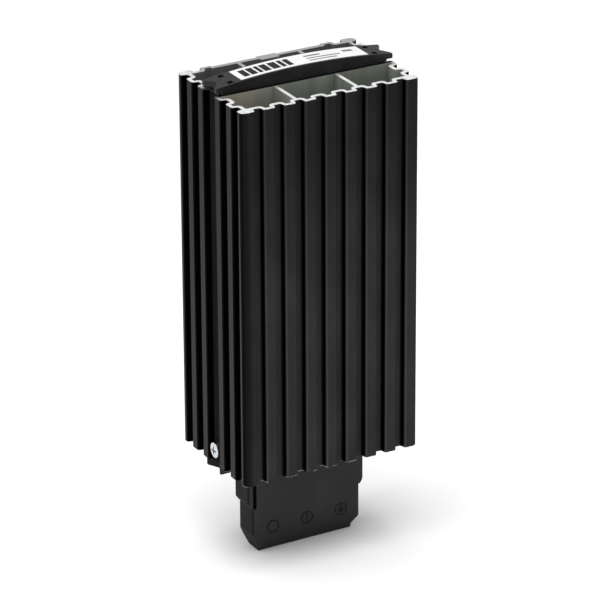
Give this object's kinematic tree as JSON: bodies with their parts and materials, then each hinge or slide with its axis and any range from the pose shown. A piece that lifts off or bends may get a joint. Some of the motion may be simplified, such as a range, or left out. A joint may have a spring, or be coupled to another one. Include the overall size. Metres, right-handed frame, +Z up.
{
  "type": "enclosure heater",
  "caption": "Upright corrugated black aluminium chimney heater with an arched cap on top, a flat terminal housing below and a spring clip for a 35 mm rail behind.",
  "frame": {"origin": "middle of the clip's rail seat, on the face that lies against the rail", "axes": "+X across the heater, +Y back into the rail, +Z up, along the extrusion"},
  "size_m": [0.0704, 0.0522, 0.183],
  "materials": {
    "black_coat": "satin black coat on extruded aluminium, bare where it was cut",
    "cap_plastic": "fine matt grain",
    "label_foil": "white foil",
    "housing_plastic": "fine matt grain",
    "zinc_steel": "bright zinc",
    "spring_steel": "rolled strip",
    "stone_ceramic": "fired, matt",
    "frame_plastic": "moulded",
    "contact_plate": "rolled sheet",
    "sleeve_film": "amber film",
    "terminal_brass": "stamped",
    "lead_brown": "insulation",
    "lead_blue": "insulation",
    "lead_green": "insulation"
  },
  "bodies": {
    "root": {"heat_sink_profile": "black_coat", "top_cap": "cap_plastic", "cap_label": "label_foil", "terminal_housing": "housing_plastic", "side_screws": "zinc_steel", "rail_clip": "spring_steel", "clip_screws": "zinc_steel", "ptc_stones": "stone_ceramic", "stone_frame": "frame_plastic", "electrode_front": "contact_plate", "electrode_back": "contact_plate", "insulating_sleeve": "sleeve_film", "contact_bars": "terminal_brass", "clamp_springs": "spring_steel", "lead_line": "lead_brown", "lead_neutral": "lead_blue", "lead_earth": "lead_green", "earth_tag": "terminal_brass", "earth_screw": "zinc_steel"}
  },
  "joints": []
}
